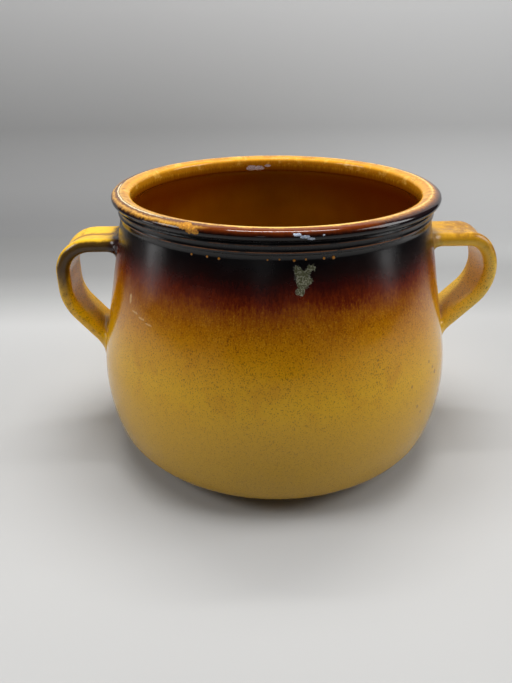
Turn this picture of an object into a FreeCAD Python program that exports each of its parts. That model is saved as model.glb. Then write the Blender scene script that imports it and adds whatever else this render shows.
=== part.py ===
import FreeCAD, Part
import os
import Sketcher
from types import SimpleNamespace

# Glazed terracotta pot, fired as one piece: a turned bowl with a rolled lip, a ringed
# collar under the lip, and two pulled strap handles. All sizes are in millimetres.
# The frame stands on the middle of the flat base, +Z up, with the handles along X.

# Driving dimensions
dimensions = {
    # outer wall: a sloping underside, a round heel, a belly that is part of a ball, a straight neck
    "base_radius": 72.0,
    "heel_bend": 17.2,
    "heel_rise": 4.4,
    "belly_radius": 105.5,
    "belly_height": 43.6,
    "neck_radius": 86.2,
    "neck_height": 140.6,
    # collar: from its sloping foot up over two thin raised rings to the undercut below the lip
    "collar_proud": 1.0,
    "collar_slope": 0.7,
    "collar_foot": 0.4,
    "ring_width": 1.4,
    "ring_proud": 0.7,
    "ring_gap": 1.7,
    "undercut_rise": 0.5,
    "undercut": 0.6,
    "undercut_slope": 1.4,
    # rolled lip, an oval bead with a skirt down its inner side
    "lip_inset": 1.1,
    "lip_half_width": 5.1,
    "lip_half_height": 3.0,
    "lip_edge": 2.2,
    "lip_skirt": 8.6,
    # hollow
    "wall": 6.0,
    "floor": 8.0,
    "throat_step": 1.2,
    # strap handles, from a bite into the neck to a foot in the belly
    "strap_bite": 4.2,
    "strap_half_width": 15.3,
    "strap_half_thickness": 3.9,
    "groove": 1.2,
    "foot_bite": 5.6,
    "upper_fillet": 6.0,
    "lower_fillet": 6.0,
    # left handle: drops are below the neck, reaches are past the neck or the belly
    "left_drop": 18.4,
    "left_top_reach": 19.2,
    "left_top_bend": 17.2,
    "left_side_reach": -9.1,
    "left_side_drop": 44.4,
    "left_side_bend": 26.4,
    "left_foot_drop": 83.5,
    # right handle, pulled a little wider
    "right_drop": 18.3,
    "right_top_reach": 25.8,
    "right_top_bend": 12.6,
    "right_side_reach": -3.2,
    "right_side_drop": 38.7,
    "right_side_bend": 25.0,
    "right_foot_drop": 79.1,
}


class Size:
    """A number together with the sheet expression that gives it."""

    def __init__(self, value, text):
        self.value = float(value)
        self.text = text

    def __add__(self, other):
        other = asSize(other)
        return Size(self.value + other.value, "(%s + %s)" % (self.text, other.text))

    def __sub__(self, other):
        other = asSize(other)
        return Size(self.value - other.value, "(%s - %s)" % (self.text, other.text))

    def __mul__(self, other):
        other = asSize(other)
        return Size(self.value * other.value, "(%s * %s)" % (self.text, other.text))

    def __truediv__(self, other):
        other = asSize(other)
        return Size(self.value / other.value, "(%s / %s)" % (self.text, other.text))

    def __neg__(self):
        return self * -1


def asSize(number):
    return number if isinstance(number, Size) else Size(number, str(float(number)))


def squareRoot(number):
    return Size(number.value ** 0.5, "sqrt(%s)" % number.text)


doc = FreeCAD.newDocument("pot")
sheet = doc.addObject("Spreadsheet::Sheet", "Sizes")
for row, (name, value) in enumerate(dimensions.items(), start=1):
    sheet.set("A%d" % row, name)
    sheet.set("B%d" % row, str(value))
    sheet.setAlias("B%d" % row, name)
doc.recompute()
size = SimpleNamespace(**{name: Size(value, "Sizes." + name) for name, value in dimensions.items()})

up = FreeCAD.Vector(0, 0, 1)
mark = SimpleNamespace(origin=(-1, 1), horizontal=-1, vertical=-2, start=1, end=2, centre=3)


def place(spot):
    return FreeCAD.Vector(asSize(spot[0]).value, asSize(spot[1]).value, 0)


def pinAlong(sketch, kind, geometry, end, distance):
    """Drive one coordinate of a point of a sketch from the sheet."""
    if distance.value == 0:
        axis = mark.vertical if kind == "DistanceX" else mark.horizontal
        sketch.addConstraint(Sketcher.Constraint("PointOnObject", geometry, end, axis))
        return
    index = sketch.addConstraint(Sketcher.Constraint(kind, *mark.origin, geometry, end, distance.value))
    sketch.setExpression("Constraints[%d]" % index, distance.text)


def pin(sketch, geometry, end, spot):
    pinAlong(sketch, "DistanceX", geometry, end, asSize(spot[0]))
    pinAlong(sketch, "DistanceY", geometry, end, asSize(spot[1]))


def line(sketch, first, last):
    return sketch.addGeometry(Part.LineSegment(place(first), place(last)), False)


def arc(sketch, first, last, centre):
    """The short arc between two places, and its points at the first and the last."""
    spokes = [place(first) - place(centre), place(last) - place(centre)]
    anticlockwise = spokes[0].cross(spokes[1]).z > 0
    if not anticlockwise:
        spokes.reverse()
    circle = Part.Circle(place(centre), up, spokes[0].Length)
    across = FreeCAD.Vector(1, 0, 0)
    turns = [spoke.getAngle(across) * (1 if spoke.y >= 0 else -1) for spoke in spokes]
    geometry = sketch.addGeometry(Part.ArcOfCircle(circle, *turns), False)
    ends = (mark.start, mark.end) if anticlockwise else (mark.end, mark.start)
    return geometry, ends


def pinCentre(sketch, geometry, first, last, centre):
    """Drive the centre of an arc along the line that halves its chord."""
    chord = place(last) - place(first)
    upright = abs(chord.y) > abs(chord.x)
    pinAlong(sketch, "DistanceX" if upright else "DistanceY", geometry, mark.centre,
             asSize(centre[0 if upright else 1]))


def touchLine(first, firstRadius, last, lastRadius, side):
    """Where a straight line touches two discs, on the right of its way for side 1."""
    along = last - first
    apart = along.Length
    along.normalize()
    outward = FreeCAD.Vector(along.y, -along.x, 0) * side
    lean = (firstRadius - lastRadius) / apart
    square = along * lean + outward * (1 - lean * lean) ** 0.5
    return first + square * firstRadius, last + square * lastRadius


def belt(sketch, start, discs, end, side):
    """A belt from one place round a row of discs to another, in lines and tangent arcs.

    Each disc is its centre's place and its radius. One with no place across sits
    inside the next disc and touches it, with no line between them."""
    stations = [(place(start), 0.0)]
    for number, (across, height, radius) in enumerate(discs):
        if across is None:
            nextAcross, nextHeight, nextRadius = discs[number + 1]
            apart = nextRadius.value - radius.value
            rise = nextHeight.value - height.value
            across = asSize(nextAcross).value + (apart * apart - rise * rise) ** 0.5
        stations.append((place((across, height)), radius.value))
    stations.append((place(end), 0.0))
    links = []
    for number, (here, there) in enumerate(zip(stations, stations[1:])):
        if number > 0 and discs[number - 1][0] is None:
            contact = there[0] + (here[0] - there[0]).normalize() * there[1]
            links.append((contact, contact))
        else:
            links.append(touchLine(*here, *there, side))
    pieces = []
    for number, (leave, arrive) in enumerate(links):
        if not leave.isEqual(arrive, contactGap):
            pieces.append((line(sketch, leave, arrive), mark.start, mark.end))
        if number < len(discs):
            across, height, radius = discs[number]
            bend, (near, far) = arc(sketch, arrive, links[number + 1][0], stations[number + 1][0])
            index = sketch.addConstraint(Sketcher.Constraint("Radius", bend, radius.value))
            sketch.setExpression("Constraints[%d]" % index, radius.text)
            pinAlong(sketch, "DistanceY", bend, mark.centre, asSize(height))
            if across is not None:
                pinAlong(sketch, "DistanceX", bend, mark.centre, asSize(across))
            pieces.append((bend, near, far))
    for (before, _, leaving), (after, arriving, _) in zip(pieces, pieces[1:]):
        sketch.addConstraint(Sketcher.Constraint("Tangent", before, leaving, after, arriving))
    return pieces[0][:2], pieces[-1][::2]


def outline(sketch, runs):
    """A closed outline of runs that share their ends.

    Each run is a kind and its places: a line, an arc with its centre last, or a
    belt from place to place with its discs."""
    drawn = []
    for kind, spots, *discs in runs:
        last = spots[-1]
        if kind == "line":
            piece = line(sketch, *spots)
            first, final = (piece, mark.start), (piece, mark.end)
        elif kind == "arc":
            piece, (head, tail) = arc(sketch, *spots)
            pinCentre(sketch, piece, *spots)
            first, final = (piece, head), (piece, tail)
            last = spots[1]
        else:
            first, final = belt(sketch, spots[0], discs[0], last, 1)
        drawn.append((first, final, last))
    for (_, tail, spot), (head, _, _) in zip(drawn, drawn[1:] + drawn[:1]):
        sketch.addConstraint(Sketcher.Constraint("Coincident", *tail, *head))
        pin(sketch, *tail, spot)


def newSketch(body, name, role):
    """A sketch on one of the body's own origin planes."""
    sketch = body.newObject("Sketcher::SketchObject", name)
    plane = [feature for feature in body.Origin.OriginFeatures if feature.Role == role][0]
    sketch.AttachmentSupport = [(plane, "")]
    sketch.MapMode = "FlatFace"
    return sketch


def checked(feature):
    """Recompute, and stop if any object failed or the feature has no valid shape."""
    doc.recompute()
    for item in doc.Objects:
        if "Invalid" in item.State or "Error" in item.State:
            raise RuntimeError("%s failed: %s" % (item.Name, item.State))
    if feature.Shape.isNull() or not feature.Shape.isValid():
        raise RuntimeError("%s has no valid shape" % feature.Name)
    return feature


contactGap = 0.001
pot = doc.addObject("PartDesign::Body", "pot")
pot.Label = "pot"

# Heights of the collar and the lip, stacked up from the neck, with the lip's underside
# rising outwards at 30 degrees into its round edge
slopeRise = 0.866
slopeAcross = 0.5
collarRadius = size.neck_radius + size.collar_proud
collarFoot = (collarRadius, size.neck_height + size.collar_slope)
lowerRing = collarFoot[1] + size.collar_foot
upperRing = lowerRing + size.ring_width + size.ring_gap
undercut = (collarRadius - size.undercut, upperRing + size.ring_width + size.undercut_rise)
lipMiddle = undercut[1] + size.undercut_slope + size.lip_edge * slopeRise
rimHeight = lipMiddle + size.lip_half_height
lipRadius = size.neck_radius - size.lip_inset

# Lip: a round edge outside and inside, under a flatter crown, tangent where they meet
edgeReach = size.lip_half_width - size.lip_edge
legs = edgeReach * edgeReach + size.lip_half_height * size.lip_half_height
crownRadius = (legs - size.lip_edge * size.lip_edge) / ((size.lip_half_height - size.lip_edge) * 2)
crownShare = crownRadius / (crownRadius - size.lip_edge)
crownCentre = (lipRadius, rimHeight - crownRadius)
crest = (lipRadius, rimHeight)


def lipRuns(side, start):
    """Half of the lip, round its edge and up to its crest, outwards or inwards."""
    centre = (lipRadius + edgeReach * side, lipMiddle)
    meetHeight = crownCentre[1] + (lipMiddle - crownCentre[1]) * crownShare
    meet = (lipRadius + edgeReach * crownShare * side, meetHeight)
    return [("arc", [start, meet, centre]), ("arc", [meet, crest, crownCentre])]


def ringRuns(height):
    """One thin raised ring of the collar."""
    top = height + size.ring_width
    proud = (collarRadius + size.ring_proud, height + size.ring_width / 2)
    return [("line", [(collarRadius, height), proud]), ("line", [proud, (collarRadius, top)])]


# Turned outside, solid for now
base = (size.base_radius, 0)
neck = (size.neck_radius, size.neck_height)
wallDiscs = [
    (None, size.heel_bend + size.heel_rise, size.heel_bend),
    (0, size.belly_height, size.belly_radius),
]
ringTop = upperRing + size.ring_width
edgeFoot = (lipRadius + edgeReach + size.lip_edge * slopeAcross, lipMiddle - size.lip_edge * slopeRise)
outside = newSketch(pot, "OutsideProfile", "YZ_Plane")
outline(outside, [
    ("line", [(0, 0), base]),
    ("belt", [base, neck], wallDiscs),
    ("line", [neck, collarFoot]),
    ("line", [collarFoot, (collarRadius, lowerRing)]),
    *ringRuns(lowerRing),
    ("line", [(collarRadius, lowerRing + size.ring_width), (collarRadius, upperRing)]),
    *ringRuns(upperRing),
    ("line", [(collarRadius, ringTop), undercut]),
    ("line", [undercut, edgeFoot]),
    *lipRuns(1, edgeFoot),
    ("line", [crest, (0, rimHeight)]),
    ("line", [(0, rimHeight), (0, 0)]),
])
turned = pot.newObject("PartDesign::Revolution", "Turned")
turned.Profile = outside
turned.ReferenceAxis = (outside, ["V_Axis"])
turned.Angle = 360
checked(turned)
wallSkin = turned.Shape.copy()
wallEdges = Part.Compound(wallSkin.Edges)


def strapSection(sketch, height):
    """Strap with round edges and a shallow groove pulled along its outer face."""
    flat = size.strap_half_width - size.strap_half_thickness
    top = height + size.strap_half_thickness
    under = height - size.strap_half_thickness
    edge = size.strap_half_width
    half = (flat / 2, top - size.groove / 2)
    halfBack = (-half[0], half[1])
    wave = (flat * flat + size.groove * size.groove) / (size.groove * 4)
    outline(sketch, [
        ("line", [(-flat, under), (flat, under)]),
        ("arc", [(flat, under), (edge, height), (flat, height)]),
        ("arc", [(edge, height), (flat, top), (flat, height)]),
        ("arc", [(flat, top), half, (flat, top - wave)]),
        ("arc", [half, halfBack, (0, top - size.groove + wave)]),
        ("arc", [halfBack, (-flat, top), (-flat, top - wave)]),
        ("arc", [(-flat, top), (-edge, height), (-flat, height)]),
        ("arc", [(-edge, height), (-flat, under), (-flat, height)]),
    ])


def rootEdges(fused, sign, upper, split):
    """Names of the edges where one strap meets the wall, above or below a height."""
    names = []
    for number, edge in enumerate(fused.Shape.Edges, start=1):
        middle = edge.valueAt(sum(edge.ParameterRange) / 2)
        spot = Part.Vertex(middle)
        onWall = spot.distToShape(wallSkin)[0] < contactGap
        wallsOwn = spot.distToShape(wallEdges)[0] < contactGap
        if onWall and not wallsOwn and middle.x * sign > 0 and (middle.z > split) == upper:
            names.append("Edge%d" % number)
    return names


def strapHandle(side, sign, drop, top, outer, footDrop):
    """Sweep one strap from inside the neck, out, over and down into the belly.

    The top and outer bends are each a place across, a height and a radius."""
    height = size.neck_height - drop
    start = ((size.neck_radius - size.strap_bite) * sign, height)
    footHeight = size.neck_height - footDrop
    footDepth = size.belly_radius - size.foot_bite
    rise = footHeight - size.belly_height
    foot = (squareRoot(footDepth * footDepth - rise * rise) * sign, footHeight)
    spine = newSketch(pot, side + "Spine", "XZ_Plane")
    discs = [(across * sign, level, radius) for across, level, radius in (top, outer)]
    first, last = belt(spine, start, discs, foot, -sign)
    pin(spine, *first, start)
    pin(spine, *last, foot)
    section = newSketch(pot, side + "Section", "YZ_Plane")
    reach = start[0]
    section.AttachmentOffset = FreeCAD.Placement(FreeCAD.Vector(0, 0, reach.value), FreeCAD.Rotation())
    section.setExpression("AttachmentOffset.Base.z", reach.text)
    strapSection(section, height)
    doc.recompute()
    sweep = pot.newObject("PartDesign::AdditivePipe", side + "Strap")
    sweep.Profile = section
    sweep.Spine = spine
    fused = checked(sweep)
    split = (height.value + footHeight.value) / 2
    for end, upper, radius in (("Upper", True, size.upper_fillet), ("Lower", False, size.lower_fillet)):
        blend = pot.newObject("PartDesign::Fillet", side + end + "Root")
        blend.Base = (fused, rootEdges(fused, sign, upper, split))
        blend.Radius = radius.value
        blend.setExpression("Radius", radius.text)
        fused = checked(blend)


strapHandle(
    "Left", -1, size.left_drop,
    (size.neck_radius + size.left_top_reach, size.neck_height - size.left_drop - size.left_top_bend,
     size.left_top_bend),
    (size.belly_radius + size.left_side_reach, size.neck_height - size.left_side_drop, size.left_side_bend),
    size.left_foot_drop)
strapHandle(
    "Right", 1, size.right_drop,
    (size.neck_radius + size.right_top_reach, size.neck_height - size.right_drop - size.right_top_bend,
     size.right_top_bend),
    (size.belly_radius + size.right_side_reach, size.neck_height - size.right_side_drop,
     size.right_side_bend),
    size.right_foot_drop)

# Hollow: the outside set in by the wall, with a flat floor, under the thicker lip
throatRadius = lipRadius - size.lip_half_width
skirtFoot = rimHeight - size.lip_skirt
throat = (throatRadius, lipMiddle)
floorEdge = (size.base_radius - size.wall, size.floor)
step = (throatRadius + size.throat_step, skirtFoot - size.throat_step)
hollowDiscs = [(across, height, radius - size.wall) for across, height, radius in wallDiscs]
clearHeight = rimHeight + size.floor
inside = newSketch(pot, "InsideProfile", "YZ_Plane")
outline(inside, [
    ("line", [(0, size.floor), floorEdge]),
    ("belt", [floorEdge, step], hollowDiscs),
    ("line", [step, (throatRadius, skirtFoot)]),
    ("line", [(throatRadius, skirtFoot), throat]),
    *lipRuns(-1, throat),
    ("line", [crest, (lipRadius, clearHeight)]),
    ("line", [(lipRadius, clearHeight), (0, clearHeight)]),
    ("line", [(0, clearHeight), (0, size.floor)]),
])
filled = pot.Tip.Shape.Volume
hollow = pot.newObject("PartDesign::Groove", "Hollow")
hollow.Profile = inside
hollow.ReferenceAxis = (inside, ["V_Axis"])
hollow.Angle = 360
checked(hollow)
if hollow.Shape.Volume > filled / 2:
    raise RuntimeError("the hollow was not cut")

print("solids", len(pot.Shape.Solids), "volume", pot.Shape.Volume, "box", pot.Shape.BoundBox)
os.makedirs("parts", exist_ok=True)
pot.Shape.exportStep("parts/pot.step")
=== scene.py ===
import math
import bmesh
import bpy
import numpy
from mathutils import Matrix, Vector


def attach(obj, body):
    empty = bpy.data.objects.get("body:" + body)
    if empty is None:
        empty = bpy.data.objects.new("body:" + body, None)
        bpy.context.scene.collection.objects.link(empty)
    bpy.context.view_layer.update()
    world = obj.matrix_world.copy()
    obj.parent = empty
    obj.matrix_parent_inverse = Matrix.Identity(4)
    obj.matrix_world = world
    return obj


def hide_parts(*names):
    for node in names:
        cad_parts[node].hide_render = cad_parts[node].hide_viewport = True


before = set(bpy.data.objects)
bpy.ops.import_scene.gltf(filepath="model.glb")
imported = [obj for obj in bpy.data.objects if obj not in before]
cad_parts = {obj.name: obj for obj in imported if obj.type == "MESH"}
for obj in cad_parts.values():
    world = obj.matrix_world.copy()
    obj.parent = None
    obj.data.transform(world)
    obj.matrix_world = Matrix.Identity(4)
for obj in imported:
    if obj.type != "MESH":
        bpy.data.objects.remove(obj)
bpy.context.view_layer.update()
metres = 0.001      # the pot's sizes are written in millimetres
scene = bpy.context.scene


# Drawing with a pen: straight runs and round turns in the XZ plane

def spot(across, height):
    return Vector((across, 0.0, height))


class Pen:
    def __init__(self, mesh, start):
        self.mesh = mesh
        self.tip = mesh.verts.new(spot(*start))
        self.drawn = [self.tip]

    def lineTo(self, end, step):
        start = self.tip.co.copy()
        count = max(1, round((end - start).length / step))
        for number in range(1, count + 1):
            made = bmesh.ops.extrude_vert_indiv(self.mesh, verts=[self.tip])
            self.tip = made["verts"][0]
            self.tip.co = start.lerp(end, number / count)
            self.drawn.append(self.tip)

    def turnTo(self, centre, end, step):
        back, ahead = self.tip.co - centre, end - centre
        angle = math.atan2(back.x * ahead.z - back.z * ahead.x, back.dot(ahead))
        count = max(2, math.ceil(abs(angle) * back.length / step))
        for _ in range(count):
            made = bmesh.ops.spin(self.mesh, geom=[self.tip], cent=centre, axis=(0, -1, 0), angle=angle / count,
                                  steps=1, use_merge=False, use_duplicate=False)
            self.tip = made["geom_last"][0]
            self.drawn.append(self.tip)


def touchLine(first, firstRadius, last, lastRadius, side=1):
    # where a straight line touches two discs, on the right of its way for side 1
    along = last - first
    lean = (firstRadius - lastRadius) / along.length
    along.normalize()
    outward = spot(along.z, -along.x) * side
    square = along * lean + outward * math.sqrt(1 - lean * lean)
    return first + square * firstRadius, last + square * lastRadius


# Turned body: a round heel, a ball of a belly, a straight neck, two rings under a rolled lip

turnedBody = {
    "baseRadius": 72.0,
    "heelBend": 17.2, "heelHeight": 21.6,
    "bellyRadius": 105.5, "bellyHeight": 43.6,
    "neck": (86.2, 140.6),
    "collarRadius": 87.2, "collarFoot": 141.3,
    "rings": (142.4, 145.5), "ringHalfWidth": 0.9, "ringProud": 0.17,
    "undercut": (86.6, 146.7),
    "lipRadius": 85.1, "lipMiddle": 150.005, "lipHalfWidth": 5.1, "lipHalfHeight": 3.0, "lipEdge": 2.2,
    "skirtFoot": 144.4, "throatStep": 1.2,
    "wall": 6.0, "floor": 8.0, "floorRound": 3.0,
    "around": 320, "coarse": 2.4, "middling": 0.7, "fine": 0.32,
}


def drawWall(s, inset):
    # points where the straight runs and the two bends of the wall meet, from the base up
    belly, bellyRadius = spot(0, s["bellyHeight"]), s["bellyRadius"] - inset
    heelBend = s["heelBend"] - inset
    rise = s["heelHeight"] - s["bellyHeight"]
    heel = spot(math.sqrt((bellyRadius - heelBend) ** 2 - rise ** 2), s["heelHeight"])
    base = spot(s["baseRadius"] - inset, s["floor"] if inset else 0.0)
    throat = s["lipRadius"] - s["lipHalfWidth"]
    top = spot(throat + s["throatStep"], s["skirtFoot"] - s["throatStep"]) if inset else spot(*s["neck"])
    foot = touchLine(base, 0.0, heel, heelBend)[1]
    meet = belly + (heel - belly).normalized() * bellyRadius
    shoulder = touchLine(belly, bellyRadius, top, 0.0)[0]
    return base, foot, heel, meet, belly, shoulder, top


def drawProfile(mesh, s):
    pen = Pen(mesh, (0, 0))
    base, foot, heel, meet, belly, shoulder, neck = drawWall(s, 0.0)
    pen.lineTo(base, s["coarse"])
    pen.lineTo(foot, s["coarse"])
    pen.turnTo(heel, meet, s["middling"])
    pen.turnTo(belly, shoulder, s["coarse"])
    pen.lineTo(neck, s["coarse"])
    collar = s["collarRadius"]
    pen.lineTo(spot(collar, s["collarFoot"]), s["fine"])
    for height in s["rings"]:
        low = spot(collar, height - s["ringHalfWidth"])
        high = spot(collar, height + s["ringHalfWidth"])
        sag = (s["ringHalfWidth"] ** 2 - s["ringProud"] ** 2) / (2 * s["ringProud"])
        pen.lineTo(low, s["middling"])
        pen.turnTo(spot(collar - sag, height), spot(collar + s["ringProud"], height), s["fine"])
        pen.turnTo(spot(collar - sag, height), high, s["fine"])
    middle, edge = s["lipMiddle"], s["lipEdge"]
    reach, half = s["lipHalfWidth"] - edge, s["lipHalfHeight"]
    outer, inner = spot(s["lipRadius"] + reach, middle), spot(s["lipRadius"] - reach, middle)
    crown = (reach ** 2 + half ** 2 - edge ** 2) / (2 * (half - edge))
    crownCentre = spot(s["lipRadius"], middle + half - crown)
    undercut = spot(*s["undercut"])
    pen.lineTo(undercut, s["middling"])
    pen.lineTo(outer + spot(edge * 0.5, -edge * 0.866), s["middling"])
    pen.turnTo(outer, crownCentre + (outer - crownCentre).normalized() * crown, s["fine"])
    pen.turnTo(crownCentre, spot(s["lipRadius"], middle + half), s["fine"])
    turnedIn = len(pen.drawn)
    pen.turnTo(crownCentre, crownCentre + (inner - crownCentre).normalized() * crown, s["fine"])
    pen.turnTo(inner, inner - spot(edge, 0), s["fine"])
    throat = s["lipRadius"] - s["lipHalfWidth"]
    pen.lineTo(spot(throat, s["skirtFoot"]), s["middling"])
    base, foot, heel, meet, belly, shoulder, top = drawWall(s, s["wall"])
    pen.lineTo(top, s["fine"])
    pen.lineTo(shoulder, s["coarse"])
    pen.turnTo(belly, meet, s["coarse"])
    pen.turnTo(heel, foot, s["middling"])
    pen.lineTo(base + (foot - base).normalized() * s["floorRound"], s["coarse"])
    pen.lineTo(base - spot(s["floorRound"], 0), s["middling"])
    pen.lineTo(spot(0, s["floor"]), s["coarse"])
    return pen, turnedIn


def turnBody(s):
    mesh = bmesh.new()
    inside = mesh.verts.layers.float.new("inside")
    pen, turnedIn = drawProfile(mesh, s)
    for vert in pen.drawn[turnedIn:]:
        vert[inside] = 1.0
    wall = [vert.co.copy() for vert in pen.drawn if s["neck"][1] + 0.001 > vert.co.z and vert[inside] == 0.0]
    wall = [co for co in wall if co.x >= s["baseRadius"]]
    bmesh.ops.spin(mesh, geom=mesh.verts[:] + mesh.edges[:], cent=(0, 0, 0), axis=(0, 0, 1), angle=2 * math.pi,
                   steps=s["around"], use_merge=True, use_duplicate=False)
    bmesh.ops.remove_doubles(mesh, verts=mesh.verts[:], dist=1e-4)
    bmesh.ops.recalc_face_normals(mesh, faces=mesh.faces[:])
    print("turned body", len(mesh.faces), "faces")
    return mesh, ([co.z for co in wall], [co.x for co in wall])


def depthOutside(co, wall):
    # distance of a point outside the wall, and the wall's outward direction there
    heights, radii = wall
    radius = math.hypot(co.x, co.y)
    here = float(numpy.interp(co.z, heights, radii))
    slope = (float(numpy.interp(co.z + 1, heights, radii)) - float(numpy.interp(co.z - 1, heights, radii))) / 2
    outward = Vector((co.x / radius, co.y / radius, -slope)).normalized()
    return (radius - here) * outward.xy.length, outward


# Strap handles: a grooved section pulled along straight runs and round bends

strapHandles = {
    "halfWidth": 15.3, "halfThickness": 3.9, "groove": 1.2,
    "step": 1.5, "fine": 0.7, "turn": 1.2, "depth": 2.6, "flare": 6.0,
    "sides": {
        "left": {"sign": -1, "start": (86.5, 122.2), "foot": (98.98, 57.1),
                 "bends": [((105.4, 105.0), 17.2), ((96.4, 96.2), 26.4)]},
        "right": {"sign": 1, "start": (86.5, 122.3), "foot": (98.28, 61.5),
                  "bends": [((112.0, 109.7), 12.6), ((102.3, 101.9), 25.0)]},
    },
}


def drawSection(mesh, s, face):
    # flat underneath, round edges, a shallow groove along the middle of the outer face
    flat, thick = s["halfWidth"] - s["halfThickness"], s["halfThickness"]
    pen = Pen(mesh, (-flat, -thick))
    pen.lineTo(spot(flat, -thick), s["step"])
    pen.turnTo(spot(flat, 0), spot(flat + thick, 0), s["fine"])
    pen.turnTo(spot(flat, 0), spot(flat, thick), s["fine"])
    count = round(2 * flat / s["fine"])
    for number in range(1, count):
        across = flat * (1 - 2 * number / count)
        dip = s["groove"] * (0.5 + 0.5 * math.cos(math.pi * across / flat))
        pen.lineTo(spot(across, thick - dip), 2 * s["fine"])
    pen.lineTo(spot(-flat, thick), 2 * s["fine"])
    pen.turnTo(spot(-flat, 0), spot(-flat - thick, 0), s["fine"])
    pen.turnTo(spot(-flat, 0), spot(-flat, -thick), s["fine"])
    bmesh.ops.remove_doubles(mesh, verts=mesh.verts[:], dist=1e-4)
    for vert in mesh.verts:
        vert[face] = vert.co.z / thick
    return mesh.edges[:]


def ringOf(edges):
    return list({vert for edge in edges for vert in edge.verts})


def pullStrap(mesh, side, s):
    face = mesh.verts.layers.float.new("face")
    pulled = mesh.verts.layers.float.new("pulled")
    edges = drawSection(mesh, s, face)
    place = spot(*side["start"])
    bmesh.ops.rotate(mesh, verts=ringOf(edges), cent=(0, 0, 0), matrix=Matrix.Rotation(math.pi / 2, 3, "Z"))
    bmesh.ops.translate(mesh, verts=ringOf(edges), vec=place)
    ends = [edges]
    length = 0.0
    discs = [(place, 0.0)] + [(spot(*centre), radius) for centre, radius in side["bends"]]
    discs.append((spot(*side["foot"]), 0.0))
    links = [touchLine(*here, *there, side=-1) for here, there in zip(discs, discs[1:])]
    for number, (leave, arrive) in enumerate(links):
        run = (arrive - leave).length
        count = max(1, round(run / s["step"]))
        for _ in range(count):
            made = bmesh.ops.extrude_edge_only(mesh, edges=edges)
            edges = [item for item in made["geom"] if isinstance(item, bmesh.types.BMEdge)]
            bmesh.ops.translate(mesh, verts=ringOf(edges), vec=(arrive - leave) / count)
            length += run / count
            for vert in ringOf(edges):
                vert[pulled] = length
        if number + 1 < len(links):
            centre, radius = discs[number + 1]
            back, ahead = arrive - centre, links[number + 1][0] - centre
            angle = math.atan2(back.x * ahead.z - back.z * ahead.x, back.dot(ahead))
            turns = math.ceil(abs(angle) * radius / s["turn"])
            for _ in range(turns):
                made = bmesh.ops.spin(mesh, geom=edges, cent=centre, axis=(0, -1, 0), angle=angle / turns,
                                      steps=1, use_merge=False, use_duplicate=False)
                edges = [item for item in made["geom_last"] if isinstance(item, bmesh.types.BMEdge)]
                length += abs(angle) * radius / turns
                for vert in ringOf(edges):
                    vert[pulled] = length
    ends.append(edges)
    for edges in ends:
        bmesh.ops.edgeloop_fill(mesh, edges=edges)


def seatRoots(mesh, side, wall, s):
    # spread the strap where it nears the wall, and keep its ends inside the wall's thickness
    seat = mesh.verts.layers.float.new("seat")
    start, foot = spot(*side["start"]), spot(*side["foot"])
    lastBend = spot(*side["bends"][-1][0])
    leaning = touchLine(lastBend, side["bends"][-1][1], foot, 0.0, -1)[0]
    ends = [(start, Vector((1, 0, 0))), (foot, (leaning - foot).normalized())]
    for vert in mesh.verts:
        far, outward = depthOutside(vert.co, wall)
        if far < s["flare"]:
            origin, along = min(ends, key=lambda end: (vert.co - end[0]).length)
            away = vert.co - (origin + along * (vert.co - origin).dot(along))
            away -= outward * away.dot(outward)
            near = max(0.0, far)
            push = s["flare"] - math.sqrt(s["flare"] ** 2 - (s["flare"] - near) ** 2)
            if away.length > 1e-6:
                vert.co += away.normalized() * push
            far, outward = depthOutside(vert.co, wall)
        if far < -s["depth"]:
            vert.co += outward * (-s["depth"] - far)
        vert[seat] = max(0.0, far)


# The whole pot as one piece, with its marks kept as attributes for the glaze

def joinMeshes(meshes, name):
    whole = bmesh.new()
    marks = {mark: whole.verts.layers.float.new(mark) for mark in ("inside", "face", "pulled", "seat", "strap")}
    for number, mesh in enumerate(meshes):
        part = bpy.data.meshes.new("part")
        mesh.to_mesh(part)
        mesh.free()
        before = len(whole.verts)
        whole.from_mesh(part)
        whole.verts.ensure_lookup_table()
        for vert in whole.verts[before:]:
            vert[marks["strap"]] = (0.0, -1.0, 1.0)[number]
        bpy.data.meshes.remove(part)
    bmesh.ops.scale(whole, verts=whole.verts[:], vec=(metres, metres, metres))
    for face in whole.faces:
        face.smooth = True
    data = bpy.data.meshes.new(name)
    whole.to_mesh(data)
    whole.free()
    piece = bpy.data.objects.new(name, data)
    scene.collection.objects.link(piece)
    return piece


body, wallLine = turnBody(turnedBody)
straps = []
for side, settings in strapHandles["sides"].items():
    strap = bmesh.new()
    pullStrap(strap, settings, strapHandles)
    seatRoots(strap, settings, wallLine, strapHandles)
    if settings["sign"] < 0:
        bmesh.ops.scale(strap, verts=strap.verts[:], vec=(-1, 1, 1))
    bmesh.ops.recalc_face_normals(strap, faces=strap.faces[:])
    print(side, "strap", len(strap.faces), "faces")
    straps.append(strap)
pot = joinMeshes([body] + straps, "glazedPot")
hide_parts("pot")
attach(pot, "root")


# Shader maths: a socket that can be used in expressions

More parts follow.
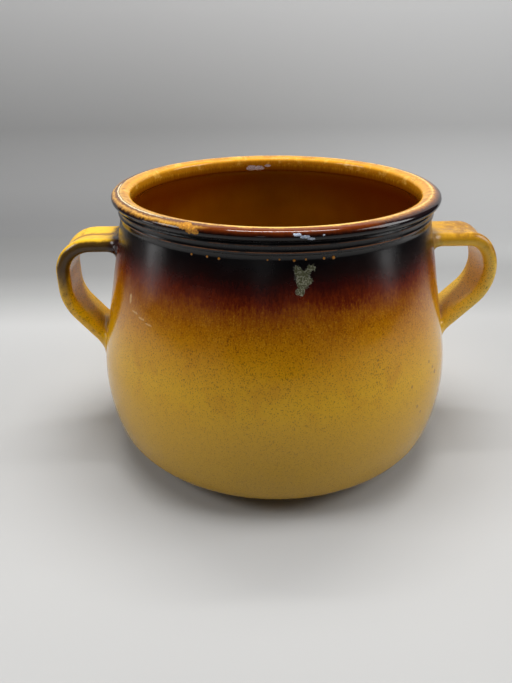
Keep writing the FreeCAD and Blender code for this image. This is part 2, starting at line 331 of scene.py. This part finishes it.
class Wire:
    def __init__(self, paint, socket):
        self.paint = paint
        self.socket = socket

    def maths(self, operation, first, second=None):
        values = {0: first} if second is None else {0: first, 1: second}
        return self.paint.node("ShaderNodeMath", {"operation": operation}, values)

    def __add__(self, other): return self.maths("ADD", self, other)
    def __radd__(self, other): return self.maths("ADD", other, self)
    def __sub__(self, other): return self.maths("SUBTRACT", self, other)
    def __rsub__(self, other): return self.maths("SUBTRACT", other, self)
    def __mul__(self, other): return self.maths("MULTIPLY", self, other)
    def __rmul__(self, other): return self.maths("MULTIPLY", other, self)
    def __truediv__(self, other): return self.maths("DIVIDE", self, other)
    def root(self): return self.maths("SQRT", self)
    def size(self): return self.maths("ABSOLUTE", self)
    def least(self, other): return self.maths("MINIMUM", self, other)
    def most(self, other): return self.maths("MAXIMUM", self, other)


class Paint:
    def __init__(self, name):
        self.material = bpy.data.materials.new(name)
        self.material.use_nodes = True
        self.tree = self.material.node_tree
        self.tree.nodes.clear()

    def node(self, kind, settings=None, values=None, output=0):
        made = self.tree.nodes.new(kind)
        for name, value in (settings or {}).items():
            if name == "stops":
                self.setStops(made.color_ramp, value)
            else:
                setattr(made, name, value)
        for name, value in (values or {}).items():
            target = made.inputs[name]
            if isinstance(value, Wire):
                self.tree.links.new(value.socket, target)
            else:
                target.default_value = value
        return Wire(self, made.outputs[output]) if made.outputs else None

    def setStops(self, ramp, stops):
        while len(ramp.elements) > 1:
            ramp.elements.remove(ramp.elements[-1])
        for number, (position, colour) in enumerate(stops):
            element = ramp.elements[0] if number == 0 else ramp.elements.new(position)
            element.position = position
            element.color = colour

    def mix(self, share, first, second, blend="MIX"):
        return self.node("ShaderNodeMix", {"data_type": "RGBA", "blend_type": blend},
                         {0: share, 6: first, 7: second}, 2)

    def ramp(self, value, stops):
        low, high = stops[0][0], stops[-1][0]
        places = [((place - low) / (high - low), screen(*colour)) for place, colour in stops]
        return self.node("ShaderNodeValToRGB", {"stops": places}, {0: (value - low) / (high - low)})

    def band(self, value, low, high, start=0.0, end=1.0):
        # a smooth step from one value to another
        return self.node("ShaderNodeMapRange", {"interpolation_type": "SMOOTHSTEP"},
                         {"Value": value, "From Min": low, "From Max": high, "To Min": start, "To Max": end})

    def vector(self, operation, first, second, output=0):
        return self.node("ShaderNodeVectorMath", {"operation": operation}, {0: first, 1: second}, output)

    def noise(self, place, grain, stretch=(1, 1, 1), detail=2.0, roughness=0.5, output=0):
        # grain is the size of one lump in millimetres
        scaled = self.vector("MULTIPLY", place, tuple(factor / grain for factor in stretch))
        return self.node("ShaderNodeTexNoise", {}, {"Vector": scaled, "Scale": 1.0, "Detail": detail,
                                                    "Roughness": roughness}, output)

    def attribute(self, name):
        return self.node("ShaderNodeAttribute", {"attribute_name": name}, {}, 2)

    def finish(self, shader):
        self.node("ShaderNodeOutputMaterial", {}, {0: shader})
        return self.material


def screen(red, green, blue):
    # a colour as read off a screen, 0 to 255, made linear
    parts = [value / 255 for value in (red, green, blue)]
    return tuple(((part + 0.055) / 1.055) ** 2.4 if part > 0.04045 else part / 12.92 for part in parts) + (1.0,)


# Glaze: pale tan at the foot, amber, then nearly black at the collar; gold lip and handles

glazeColours = {
    "byHeight": [(0, (182, 140, 34)), (25, (196, 151, 30)), (50, (213, 162, 20)), (72, (226, 171, 9)),
                 (88, (218, 154, 3)), (98, (202, 132, 2)), (107, (176, 103, 2)), (114, (146, 72, 2)),
                 (120, (108, 34, 2)), (126, (62, 11, 3)), (131, (28, 7, 5)), (137, (11, 7, 8)), (153, (12, 9, 10))],
    "speck": (92, 50, 4), "speckPale": (236, 196, 60), "amber": (196, 126, 2),
    "inside": [(0, (186, 140, 10)), (40, (182, 132, 6)), (80, (170, 112, 3)), (115, (140, 80, 2)),
               (136, (110, 46, 2)), (143, (120, 58, 2)), (146.5, (140, 82, 4)), (149, (206, 146, 30)),
               (151, (236, 184, 56))],
    # painted shade: a dark red-brown laid over the right side of the hollow
    "insideShadeRight": (92, 30, 4),
    # front lip: the crest is the glaze's gold made paler, partly a painted highlight
    "lipFrontWithHighlight": [(-125, (10, 7, 8)), (-100, (10, 6, 7)), (-88, (22, 9, 6)), (-74, (70, 26, 6)),
                 (-52, (110, 46, 8)), (-24, (118, 54, 10)), (-13, (158, 90, 20)), (-4, (236, 188, 74)),
                 (6, (255, 226, 124)), (18, (224, 164, 44)), (45, (210, 144, 30)), (100, (190, 122, 14)),
                 (140, (150, 84, 4))],
    # left lip: the gold band on the outer shoulder is a painted highlight
    "lipLeftWithHighlight": [(-125, (12, 9, 11)), (-92, (20, 13, 16)), (-78, (56, 34, 28)), (-64, (186, 130, 46)),
                (-54, (228, 172, 74)), (-44, (134, 86, 34)), (-26, (84, 52, 42)), (-12, (128, 88, 60)),
                (0, (226, 178, 96)), (12, (214, 158, 62)), (30, (200, 138, 44)), (60, (224, 160, 44)),
                (105, (196, 130, 18)), (140, (140, 76, 4))],
    "lipBack": [(-125, (12, 9, 11)), (-90, (18, 12, 14)), (-62, (36, 22, 24)), (-46, (92, 52, 28)),
                (-30, (150, 94, 34)), (-10, (196, 140, 54)), (2, (252, 210, 118)), (12, (222, 164, 62)),
                (26, (196, 132, 36)), (46, (214, 148, 40)), (70, (232, 164, 44)), (95, (206, 138, 26)),
                (120, (150, 90, 8)), (140, (120, 64, 4))],
    "lipGold": (244, 192, 84), "lipBrown": (122, 70, 26),
    "rust": (132, 80, 42), "drop": (196, 126, 34),
    # painted highlight: the pale edge colour of the right strap
    # painted light: the two underside colours are lighter than the strap's glaze
    "strapLeft": (252, 196, 46), "strapRight": (214, 158, 34), "edgeHighlightRight": (255, 210, 82), "litUnderLeft": (250, 196, 24),
    "litUnderRight": (255, 212, 70), "strapDark": (44, 22, 22), "strapBrown": (124, 72, 16),
    "rootGrey": (112, 84, 56), "foot": (150, 116, 84), "bareClay": (226, 206, 162),
}

# How the glaze takes the light: roughness, and heights of the surface in millimetres

glazeSurface = {
    "ior": 1.42, "smooth": 0.07, "dull": 0.16, "collarDull": 0.12, "speckDull": 0.04, "bareDull": 0.5,
    "brokenDull": 0.4, "lipShine": 0.03,
    "ringHeight": 0.05, "peelHeight": 0.03, "speckHeight": 0.004, "gritHeight": 0.35, "brokenSink": 0.3,
    "dropHeight": 0.12,
}

# Marks of use and firing: where they are, their half sizes and their colour, in millimetres

glazeMarks = {
    "bodyFlake": {"lobes": [((4.1, -87.2, 134.4), (1.5, 3, 2.3)), ((6.4, -87.3, 133.6), (1.5, 3, 1.2)),
                            ((9.4, -87.0, 134.4), (1.5, 3, 1.9)), ((11.2, -86.7, 135.4), (1.3, 3, 1.3)),
                            ((6.3, -87.8, 132.0), (3.1, 3, 2.0)), ((5.8, -88.2, 130.0), (2.5, 3, 2.2)),
                            ((9.0, -88.2, 129.6), (2.1, 3, 1.7)), ((6.8, -88.7, 127.6), (2.6, 3, 1.8)),
                            ((5.6, -89.6, 125.3), (1.8, 3, 1.9))],
                  "colour": (78, 80, 46), "fleck": (158, 158, 134), "ragged": 4.4},
    "lipFleck": {"lobes": [((3.4, -89.7, 151.3), (1.9, 1.5, 0.55)), ((6.8, -90.2, 150.3), (2.2, 1.5, 0.75)),
                           ((9.4, -89.6, 149.3), (1.7, 1.5, 0.55)), ((14.8, -88.9, 150.7), (0.6, 0.8, 0.4))],
                 "colour": (176, 190, 214), "fleck": (224, 234, 246), "ragged": 1.5},
    "innerFlake": {"lobes": [((-11.0, 79.2, 145.9), (3.6, 2, 1.9)), ((-5.6, 79.8, 145.6), (3.6, 2, 1.7)),
                             ((0.4, 80.0, 147.2), (2.2, 2, 0.8))],
                   "colour": (176, 156, 168), "fleck": (222, 208, 212), "ragged": 1.4},
    "amberChip": {"lobes": [((-44.6, -76.2, 152.1), (3.4, 2.6, 1.6)), ((-42.2, -79.2, 151.0), (2.6, 2.2, 1.8)),
                            ((-40.2, -80.6, 150.2), (2.0, 1.8, 1.2))],
                  "colour": (176, 108, 14), "fleck": (226, 164, 44), "ragged": 2.8},
    "lipScar": {"lobes": [((81.6, 9.0, 152.3), (1.7, 4.2, 1.3))],
                "colour": (190, 132, 40), "fleck": (232, 188, 100), "ragged": 0.8},
    "scrape": {"lobes": [((-77.0, -53.4, 107.6), (1.1, 1.1, 3.0)), ((-74.6, -58.6, 102.2), (2.4, 2.6, 0.55)),
                         ((-70.8, -63.8, 100.9), (2.6, 2.6, 0.5)), ((-66.9, -68.4, 99.6), (2.4, 2.4, 0.45))],
               "colour": (230, 190, 120), "fleck": (248, 222, 168), "ragged": 1.6,
               "strength": 0.55},
    "burnSpecks": {"lobes": [((79.0, -64.2, 72.4), (1.1, 1.1, 0.9)), ((82.6, -61.8, 67.6), (1.2, 1.2, 1.0)),
                             ((84.8, -59.8, 63.6), (1.5, 1.5, 1.2)), ((80.6, -63.6, 65.0), (0.8, 0.8, 0.7)),
                             ((71.2, -77.2, 52.6), (0.9, 0.9, 1.0)), ((74.2, -74.6, 47.6), (0.9, 0.9, 0.8)),
                             ((66.4, -78.8, 66.1), (0.9, 0.9, 0.8)), ((44.5, -87.5, 87.8), (0.8, 0.8, 0.6))],
                   "colour": (98, 56, 22), "fleck": (136, 88, 44), "ragged": 1.8,
                   "strength": 0.55},
}
fullStrength = 0.96     # of a mark that breaks the glaze; the others only tint it
glazeDrops = [(-42.7, -75.5, 138.5, 0.5), (-35.5, -79.1, 138.5, 0.55), (-30.2, -81.3, 138.3, 0.6),
              (-8.9, -86.1, 139.0, 0.4), (-3.7, -86.5, 139.2, 0.4), (2.7, -86.6, 138.7, 0.6),
              (7.9, -86.3, 139.0, 0.45), (16.0, -85.1, 139.0, 0.6), (20.4, -84.2, 138.9, 0.75)]


def markMask(paint, place, mark):
    # a ragged patch made of a few overlapping lobes
    jitter = paint.vector("SUBTRACT", paint.noise(place, 1.1, detail=4.0, roughness=0.65, output=1), (0.5, 0.5, 0.5))
    shaken = paint.vector("ADD", place, paint.vector("MULTIPLY", jitter, (mark["ragged"],) * 3))
    nearest = None
    for centre, halves in mark["lobes"]:
        offset = paint.vector("MULTIPLY", paint.vector("SUBTRACT", shaken, centre), tuple(1 / half for half in halves))
        far = paint.node("ShaderNodeVectorMath", {"operation": "LENGTH"}, {0: offset}, 1)
        nearest = far if nearest is None else nearest.least(far)
    return paint.band(nearest, 1.08, 0.9)


def makeGlaze(c, surface, body):
    paint = Paint("glazedTerracotta")
    place = paint.vector("MULTIPLY", paint.node("ShaderNodeTexCoord", output=3), (1 / metres,) * 3)
    split = paint.node("ShaderNodeSeparateXYZ", {}, {0: place}).socket.node
    x, y, z = (Wire(paint, split.outputs[number]) for number in range(3))
    radius = (x * x + y * y).root()
    inside, strap, face, pulled, seat = (paint.attribute(name) for name in
                                         ("inside", "strap", "face", "pulled", "seat"))

    # wall: the dark dip runs down into the amber in fine streaks
    streak = paint.noise(place, 1.3, (1, 1, 0.16), 3.0, 0.6)
    rain = paint.noise(place, 0.7, (1, 1, 0.5), 2.0, 0.6)
    cloud = paint.noise(place, 30.0, (1, 1, 1), 2.0)
    near = paint.band(z, 60, 106) * paint.band(z, 132, 112)
    moved = z + (streak - 0.5) * (4 + near * 12) + (rain - 0.5) * (4 + near * 9) + (cloud - 0.5) * 11
    wall = paint.ramp(moved, c["byHeight"])
    specks = paint.noise(place, 0.6, (1, 1, 0.8), 1.0)
    pale = paint.band(moved, 120, 106)
    speckle = paint.band(specks, 0.55, 0.7) * (0.32 + 0.34 * paint.band(z, 40, 90)) * pale
    blotch = paint.band(paint.noise(place, 17.0, (1, 1, 0.8), 3.0), 0.5, 0.66)
    wall = paint.mix(blotch * 0.4 * pale * paint.band(z, 50, 80), wall, screen(*c["amber"]))
    wall = paint.mix(speckle, wall, screen(*c["speck"]))
    wall = paint.mix(paint.band(specks, 0.44, 0.30) * 0.2 * pale, wall, screen(*c["speckPale"]))

    # collar: rust lines where the glaze thins over the two rings, and small drops under it
    worn = paint.noise(place, 7.0, (1, 1, 1), 3.0)
    lines = None
    for height, strength in zip(body["rings"], (0.9, 0.4)):
        line = paint.band((z - height).size(), 0.38, 0.05) * strength * paint.band(worn, 0.34, 0.54)
        lines = line if lines is None else lines + line
    wall = paint.mix(lines.least(1.0), wall, screen(*c["rust"]))
    drops = None
    for across, along, height, half in glazeDrops:
        offset = paint.vector("SUBTRACT", place, (across, along, height))
        far = paint.node("ShaderNodeVectorMath", {"operation": "LENGTH"}, {0: offset}, 1)
        dot = paint.band(far, half * 1.3, half * 0.5)
        drops = dot if drops is None else drops.most(dot)
    wall = paint.mix(drops, wall, screen(*c["drop"]))

    # lip: gold inside, red-brown in fine streaks over the front, black at the outer edge
    over = paint.node("ShaderNodeMath", {"operation": "ARCTAN2"},
                      {0: body["lipRadius"] - radius, 1: z - (body["lipMiddle"])}) * (180 / math.pi)
    girth = 86      # the lip unrolled, close to its radius
    around = paint.node("ShaderNodeCombineXYZ", {}, {0: x / radius * girth, 1: y / radius * girth, 2: over * 0.03})
    fine = paint.noise(around, 0.9, detail=3.0, roughness=0.6)
    ragged = paint.noise(place, 3.0, (1, 1, 1), 4.0, 0.65)
    broad = paint.noise(place, 14.0, (1, 1, 1), 2.0)
    front = paint.band(y + (broad - 0.5) * 8, -76, -82)
    slip = over + ((fine - 0.5) * 34 + (ragged - 0.5) * 26 + (broad - 0.5) * 18) * (1 - front * 0.45)
    # the left ramp holds a painted highlight, a gold band on the outer shoulder
    lip = paint.mix(paint.band(x + y * 0.3, -10, -70), paint.ramp(slip, c["lipBack"]), paint.ramp(slip, c["lipLeftWithHighlight"]))
    # the front ramp's pale crest is partly a painted highlight
    lip = paint.mix(front, lip, paint.ramp(slip, c["lipFrontWithHighlight"]))
    gold = paint.band(paint.noise(place, 4.6, (1, 1, 1), 3.0, 0.6) + (broad - 0.5) * 0.5, 0.55, 0.7)
    lip = paint.mix(gold * 0.6 * paint.band(over, -40, -8), lip, screen(*c["lipGold"]))
    brown = paint.band(paint.noise(around, 3.4, detail=4.0, roughness=0.65), 0.55, 0.7)
    patches = paint.band(paint.noise(around, 11.0, detail=4.0, roughness=0.7), 0.46, 0.62)
    turn = paint.band(over, -70, -50) * paint.band(over, 80, 30) * (1 - front * 0.6)
    lip = paint.mix((brown * 0.5 + patches * 0.35) * turn, lip, screen(*c["lipBrown"]))
    lipMask = paint.band(z, 147.4, 148.3) * paint.band(radius, 79.0, 79.9)
    hollow = paint.ramp(z + (cloud - 0.5) * 34 * paint.band(z, 142, 118) + (streak - 0.5) * 5, c["inside"])
    # painted shade: the right side of the hollow darkened towards a dark red-brown
    shadedRightInside = paint.band(x + (cloud - 0.5) * 40, 5, 75) * paint.band(z, 60, 110) * paint.band(z, 144, 138) * 0.7
    hollow = paint.mix(shadedRightInside, hollow, screen(*c["insideShadeRight"]))
    turned = paint.mix(inside, wall, hollow)
    turned = paint.mix(lipMask, turned, lip)

    # handles: gold, a brown line along the groove, the left one dark along its edges and roots
    left = paint.band(strap, 0.0, -0.5)
    onStrap = paint.band(strap.size(), 0.3, 0.6)
    mottle = paint.noise(place, 5.0, (1, 1, 1), 4.0, 0.65)
    handle = paint.mix(left, screen(*c["strapRight"]), screen(*c["strapLeft"]))
    # painted light: the undersides take lighter colours than the strap's glaze, standing in for light
    under = paint.mix(left, screen(*c["litUnderRight"]), screen(*c["litUnderLeft"]))
    handle = paint.mix(paint.band(face, 0.35, -0.4), handle, under)
    groove = paint.band((y + (mottle - 0.5) * 3).size(), 3.2, 0.8) * paint.band(face, 0.2, 0.5)
    handle = paint.mix(groove * (0.22 + 0.5 * left), handle, screen(*c["strapBrown"]))
    # brown mottles, weaker on the underside, which keeps its painted light
    mottled = paint.band(mottle, 0.5, 0.72) * paint.band(face, -0.9, 0.2, 0.3, 1.0)
    handle = paint.mix(mottled * (0.4 + 0.15 * left), handle, screen(*c["strapBrown"]))
    rim = paint.band(y.size() + (mottle - 0.5) * 4, 12.4, 14.4) * paint.band(face, 0.95, 0.6)
    sides = rim * paint.band(pulled + (mottle - 0.5) * 14, 66, 42)
    belly = paint.band(face, 0.0, -0.6) * paint.band(pulled + (mottle - 0.5) * 14, 44, 26)
    handle = paint.mix(sides.most(belly) * left * 0.92, handle, screen(*c["strapDark"]))
    # painted highlight: pale gold along the rounded edges of the right strap
    handle = paint.mix(rim * (1 - left) * 0.85 * paint.band(pulled, 34, 52), handle, screen(*c["edgeHighlightRight"]))
    bend = paint.band(pulled, 8, 20) * paint.band(pulled, 54, 34) * paint.band(face, 0.2, 0.7) * (1 - left)
    handle = paint.mix(bend * paint.band(mottle, 0.36, 0.56) * 0.6, handle, screen(*c["strapBrown"]))
    corner = paint.band(y.size() + (mottle - 0.5) * 3, 9, 11) * paint.band(y.size(), 14.6, 13)
    corner = corner * paint.band(face, 0.5, 0.9)
    handle = paint.mix(corner * (1 - left) * 0.5 * paint.band(pulled, 28, 50), handle, screen(*c["strapBrown"]))
    handle = paint.mix(speckle, handle, screen(*c["speck"]))
    root = paint.band(seat + (mottle - 0.5) * 6, 7.0, 1.5)
    upperRoot = paint.band(pulled, 30, 12)
    rootColour = paint.mix(upperRoot, wall, paint.mix(left, screen(*c["rootGrey"]), screen(*c["strapDark"])))
    handle = paint.mix(root * (0.75 + 0.25 * left), handle, rootColour)
    colour = paint.mix(onStrap, turned, handle)

    # bare clay along the worn crest of the lip at the left
    crest = paint.band((over + 20 + (ragged - 0.5) * 26).size(), 9, 4)
    arc = paint.band(x, -46, -56) * paint.band(y, 6, 0) * paint.band(x + (fine - 0.5) * 30, -50, -62)
    chipped = crest * arc * lipMask * (1 - onStrap)
    colour = paint.mix(chipped, colour, screen(*c["bareClay"]))

    # flakes, chips and specks
    grit = paint.noise(place, 0.8, detail=3.0, roughness=0.7)
    broken = chipped
    for mark in glazeMarks.values():
        mask = markMask(paint, place, mark) * (1 - onStrap)
        patch = paint.mix(paint.band(grit, 0.46, 0.6), screen(*mark["colour"]), screen(*mark["fleck"]))
        strength = mark.get("strength", fullStrength)
        colour = paint.mix(mask * strength, colour, patch)
        if strength == fullStrength:
            broken = broken.most(mask)

    # bare foot under the pot
    bare = paint.band(z, 0.6, 0.1) * (1 - inside)
    colour = paint.mix(bare, colour, screen(*c["foot"]))

    # surface: throwing rings, a fine orange peel, duller patches, a duller collar, and sunk rough flakes
    rings = paint.noise(place, 7.0, (0.02, 0.02, 1), 2.0)
    peel = paint.noise(place, 3.0, (1, 1, 1), 2.0)
    height = rings * surface["ringHeight"] + peel * surface["peelHeight"] + specks * surface["speckHeight"]
    height = height + broken * (grit * surface["gritHeight"] - surface["brokenSink"]) + drops * surface["dropHeight"]
    dull = paint.noise(place, 22.0, (1, 1, 1), 3.0)
    sheen = paint.band(z, 104, 118) * (1 - inside) * (1 - lipMask)
    rough = paint.band(dull, 0.35, 0.7, surface["smooth"], surface["dull"]) + sheen * surface["collarDull"]
    rough = rough + specks * surface["speckDull"] + bare * surface["bareDull"] + broken * surface["brokenDull"]
    rough = rough - lipMask * surface["lipShine"]
    normal = paint.node("ShaderNodeBump", {}, {"Height": height, "Strength": 1.0, "Distance": metres})
    shader = paint.node("ShaderNodeBsdfPrincipled", {}, {"Base Color": colour, "Roughness": rough,
                                                         "IOR": surface["ior"], "Normal": normal})
    return paint.finish(shader)


pot.data.materials.append(makeGlaze(glazeColours, glazeSurface, turnedBody))
print("glaze ready")


# Floor and backdrop: one pale sweep, its tones graded by depth and height as painted shade, with a painted shadow near
# at the right and painted light far at the right

sweepSize = {"wall": 500.0, "bend": 120.0, "near": -800.0, "high": 900.0, "halfWidth": 650.0, "drop": 0.1,
             # floor tones: painted shade towards the backdrop and a faint painted shadow around the pot; paper tones:
             # painted shade, darker low on the backdrop; the pale far colour is painted light
             "floorPaintedShade": [(-800, 187), (-170, 187), (-110, 187), (-70, 184), (-34, 182), (10, 183), (66, 186),
                            (135, 187), (204, 157), (261, 137), (346, 130), (430, 128)],
             "paperPaintedShade": [(0, 127), (11, 128), (45, 141), (94, 150), (171, 163), (263, 179), (800, 184)],
             "shade": (120, 120, 120), "shadeShare": 0.22, "far": (228, 229, 229), "farLightShare": 0.27,
             "roughness": 0.9}


def makeSweep(s):
    mesh = bmesh.new()
    pen = Pen(mesh, (s["near"], -s["drop"]))
    corner = spot(s["wall"], -s["drop"])
    centre = corner + spot(-s["bend"], s["bend"])
    pen.lineTo(corner - spot(s["bend"], 0), abs(s["near"]) / 4)
    pen.turnTo(centre, corner + spot(0, s["bend"]), s["bend"] / 16)
    pen.lineTo(spot(s["wall"], s["high"]), s["high"] / 4)
    bmesh.ops.rotate(mesh, verts=mesh.verts[:], cent=(0, 0, 0), matrix=Matrix.Rotation(math.pi / 2, 3, "Z"))
    bmesh.ops.translate(mesh, verts=mesh.verts[:], vec=(-s["halfWidth"], 0, 0))
    made = bmesh.ops.extrude_edge_only(mesh, edges=mesh.edges[:])
    moved = [item for item in made["geom"] if isinstance(item, bmesh.types.BMVert)]
    bmesh.ops.translate(mesh, verts=moved, vec=(2 * s["halfWidth"], 0, 0))
    bmesh.ops.scale(mesh, verts=mesh.verts[:], vec=(metres, metres, metres))
    bmesh.ops.recalc_face_normals(mesh, faces=mesh.faces[:])
    bmesh.ops.reverse_faces(mesh, faces=mesh.faces[:])      # the sheet faces the pot
    for face in mesh.faces:
        face.smooth = True
    data = bpy.data.meshes.new("floorSweep")
    mesh.to_mesh(data)
    mesh.free()
    piece = bpy.data.objects.new("floorSweep", data)
    scene.collection.objects.link(piece)
    paint = Paint("palePaper")
    split = paint.node("ShaderNodeSeparateXYZ", {}, {0: paint.node("ShaderNodeTexCoord", output=3)}).socket.node
    away, height = Wire(paint, split.outputs[1]) / metres, Wire(paint, split.outputs[2]) / metres
    # painted shade by depth, with a faint painted shadow around the pot
    floor = paint.ramp(away, [(place, (tone, tone, tone - 1)) for place, tone in s["floorPaintedShade"]])
    across = Wire(paint, split.outputs[0]) / metres
    # painted shadow on the floor at the near right
    nearRightShadow = paint.band(across, 40, 240) * paint.band(away, 240, 160) * s["shadeShare"]
    floor = paint.mix(nearRightShadow, floor, screen(*s["shade"]))
    # painted light far at the right, on the floor and the backdrop
    farRightLight = paint.band(across, -190, 420) * paint.band(away, 200, 330) * s["farLightShare"]
    floor = paint.mix(farRightLight, floor, screen(*s["far"]))
    # painted shade on the backdrop, darker low down
    paper = paint.ramp(height, [(place, (tone, tone, tone)) for place, tone in s["paperPaintedShade"]])
    paper = paint.mix(farRightLight, paper, screen(*s["far"]))
    colour = paint.mix(paint.band(height, 0.0, 1.0), floor, paper)
    shader = paint.node("ShaderNodeBsdfPrincipled", {}, {"Base Color": colour, "Roughness": s["roughness"]})
    data.materials.append(paint.finish(shader))
    return piece


makeSweep(sweepSize)


# Camera at the photograph's angle

cameraPlace = {"place": (-0.02198, -0.31438, 0.22246), "ahead": (0.0303, 0.8787, -0.4765), "roll": -0.0055,
               "lens": 29.10}


def addCamera(s):
    data = bpy.data.cameras.new("camera")
    data.lens = s["lens"]
    data.clip_start = 0.01
    camera = bpy.data.objects.new("camera", data)
    scene.collection.objects.link(camera)
    ahead = Vector(s["ahead"]).normalized()
    right = ahead.cross(Vector((0, 0, 1))).normalized()
    upward = right.cross(ahead)
    across = math.cos(s["roll"]) * right + math.sin(s["roll"]) * upward
    above = math.cos(s["roll"]) * upward - math.sin(s["roll"]) * right
    turned = Matrix((across, above, -ahead)).transposed()
    camera.matrix_world = Matrix.Translation(s["place"]) @ turned.to_4x4()
    scene.camera = camera


addCamera(cameraPlace)


# Soft studio light: a panel overhead, one at each side, a strip for the lip's glint, a small one in front, low glows

lamps = {
    "overhead": {"place": (0.0, 0.06, 0.95), "aim": (0, 0, 0.05), "size": 0.55, "power": 7.8, "mirrored": False},
    "key": {"place": (1.0, -0.12, 0.78), "aim": (0, 0, 0.08), "size": 0.65, "power": 7.2, "mirrored": True},
    "fill": {"place": (-1.0, -0.15, 0.78), "aim": (0, 0, 0.08), "size": 0.45, "power": 4.6, "mirrored": True},
    "strip": {"place": (0.05, 0.24, 0.95), "aim": (0.05, 0.2, 0.0), "size": 0.5, "depth": 0.035, "power": 2.2,
              "mirrored": True},
    "front": {"place": (-0.28, -1.35, 0.36), "aim": (0, 0, 0.08), "size": 0.1, "power": 0.12, "mirrored": True},
    "leftGlow": {"place": (-0.6, -0.02, 0.12), "aim": (0, -0.05, 0.13), "size": 0.11, "power": 0.11,
                 "mirrored": True},
    "rightGlow": {"place": (0.6, -0.195, 0.14), "aim": (0, -0.05, 0.13), "size": 0.1, "power": 0.085,
                  "mirrored": True},
}
roomLight = (42, 43, 46)


def addLamp(name, s):
    data = bpy.data.lights.new(name, "AREA")
    data.shape = "RECTANGLE"
    data.size = s["size"]
    data.size_y = s.get("depth", s["size"])
    data.energy = s["power"]
    lamp = bpy.data.objects.new(name, data)
    scene.collection.objects.link(lamp)
    direction = Vector(s["aim"]) - Vector(s["place"])
    lamp.matrix_world = Matrix.Translation(s["place"]) @ direction.to_track_quat("-Z", "Y").to_matrix().to_4x4()
    lamp.visible_camera = False
    lamp.visible_glossy = s["mirrored"]


for name, settings in lamps.items():
    addLamp(name, settings)
world = bpy.data.worlds.new("room")
world.use_nodes = True
world.node_tree.nodes["Background"].inputs[0].default_value = screen(*roomLight)
scene.world = world
scene.view_settings.view_transform = "Standard"
print("stage, camera and lamps ready")
